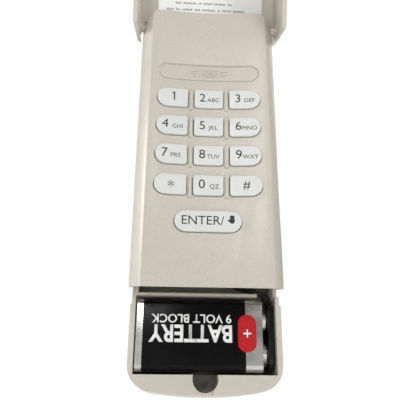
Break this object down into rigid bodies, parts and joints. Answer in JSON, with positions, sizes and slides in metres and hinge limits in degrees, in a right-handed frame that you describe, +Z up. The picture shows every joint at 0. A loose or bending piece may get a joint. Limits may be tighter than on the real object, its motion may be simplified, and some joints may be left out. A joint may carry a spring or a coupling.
{
  "type": "garage door keypad",
  "caption": "Wall-mounted garage-door keypad with telephone-style sprung keys, a wide enter key, a flip-up lid on side pins and an open battery bay.",
  "frame": {"origin": "middle of the flat back face, on the plane of the wall", "axes": "+Z up the body from the battery end to the hinge end, +X to the right seen from the front, +Y into the wall; the keys face -Y"},
  "size_m": [0.0632, 0.0943, 0.3007],
  "materials": {
    "housing": "warm grey-beige moulded plastic, fine spark texture, semi-gloss",
    "keys": "cool white key caps, satin gloss, dark grey printed legends",
    "label": "white coated paper with grey print",
    "rubber": "translucent grey silicone",
    "board": "green solder mask",
    "black_plastic": "black moulded plastic",
    "steel": "nickel-plated steel",
    "battery_jacket": "printed metal jacket, black with bright silver ends",
    "led": "clear amber resin",
    "copper": "enamelled copper wire",
    "lead_wire": "black PVC insulation"
  },
  "bodies": {
    "case": {"rear_housing": "housing", "front_housing": "housing", "keymat": "rubber", "circuit_board": "board", "controller_chip": "black_plastic", "crystal": "steel", "capacitor_1": "black_plastic", "capacitor_2": "black_plastic", "led_1": "led", "led_2": "led", "led_3": "led", "led_4": "led", "antenna_coil": "copper", "battery_case": "battery_jacket", "battery_bottom_plate": "steel", "battery_terminal_plate": "black_plastic", "battery_positive_terminal": "steel", "battery_negative_terminal": "steel", "snap_socket": "steel", "snap_stud": "steel", "snap_connector": "black_plastic", "positive_lead": "lead_wire", "negative_lead": "lead_wire", "case_screw_1": "steel", "case_screw_2": "steel", "case_screw_3": "steel", "case_screw_4": "steel"},
    "lid": {"lid": "housing", "instruction_label": "label"},
    "key_1": {"key_1": "keys"},
    "key_2": {"key_2": "keys"},
    "key_3": {"key_3": "keys"},
    "key_4": {"key_4": "keys"},
    "key_5": {"key_5": "keys"},
    "key_6": {"key_6": "keys"},
    "key_7": {"key_7": "keys"},
    "key_8": {"key_8": "keys"},
    "key_9": {"key_9": "keys"},
    "key_star": {"key_star": "keys"},
    "key_0": {"key_0": "keys"},
    "key_hash": {"key_hash": "keys"},
    "key_enter": {"key_enter": "keys"}
  },
  "joints": [
    {"name": "lid_hinge", "type": "hinge", "parent": "case", "child": "lid", "pos_m": [0, -0.026, 0.073], "axis": [1, 0, 0], "range_deg": [0, 160]},
    {"name": "key_1_press", "type": "slide", "parent": "case", "child": "key_1", "axis": [0, 1, 0], "range_m": [0, 0.0012], "stiffness_N_per_m": 1000, "springref_m": -0.0005},
    {"name": "key_2_press", "type": "slide", "parent": "case", "child": "key_2", "axis": [0, 1, 0], "range_m": [0, 0.0012], "stiffness_N_per_m": 1000, "springref_m": -0.0005},
    {"name": "key_3_press", "type": "slide", "parent": "case", "child": "key_3", "axis": [0, 1, 0], "range_m": [0, 0.0012], "stiffness_N_per_m": 1000, "springref_m": -0.0005},
    {"name": "key_4_press", "type": "slide", "parent": "case", "child": "key_4", "axis": [0, 1, 0], "range_m": [0, 0.0012], "stiffness_N_per_m": 1000, "springref_m": -0.0005},
    {"name": "key_5_press", "type": "slide", "parent": "case", "child": "key_5", "axis": [0, 1, 0], "range_m": [0, 0.0012], "stiffness_N_per_m": 1000, "springref_m": -0.0005},
    {"name": "key_6_press", "type": "slide", "parent": "case", "child": "key_6", "axis": [0, 1, 0], "range_m": [0, 0.0012], "stiffness_N_per_m": 1000, "springref_m": -0.0005},
    {"name": "key_7_press", "type": "slide", "parent": "case", "child": "key_7", "axis": [0, 1, 0], "range_m": [0, 0.0012], "stiffness_N_per_m": 1000, "springref_m": -0.0005},
    {"name": "key_8_press", "type": "slide", "parent": "case", "child": "key_8", "axis": [0, 1, 0], "range_m": [0, 0.0012], "stiffness_N_per_m": 1000, "springref_m": -0.0005},
    {"name": "key_9_press", "type": "slide", "parent": "case", "child": "key_9", "axis": [0, 1, 0], "range_m": [0, 0.0012], "stiffness_N_per_m": 1000, "springref_m": -0.0005},
    {"name": "key_star_press", "type": "slide", "parent": "case", "child": "key_star", "axis": [0, 1, 0], "range_m": [0, 0.0012], "stiffness_N_per_m": 1000, "springref_m": -0.0005},
    {"name": "key_0_press", "type": "slide", "parent": "case", "child": "key_0", "axis": [0, 1, 0], "range_m": [0, 0.0012], "stiffness_N_per_m": 1000, "springref_m": -0.0005},
    {"name": "key_hash_press", "type": "slide", "parent": "case", "child": "key_hash", "axis": [0, 1, 0], "range_m": [0, 0.0012], "stiffness_N_per_m": 1000, "springref_m": -0.0005},
    {"name": "key_enter_press", "type": "slide", "parent": "case", "child": "key_enter", "axis": [0, 1, 0], "range_m": [0, 0.0012], "stiffness_N_per_m": 1000, "springref_m": -0.0005}
  ]
}
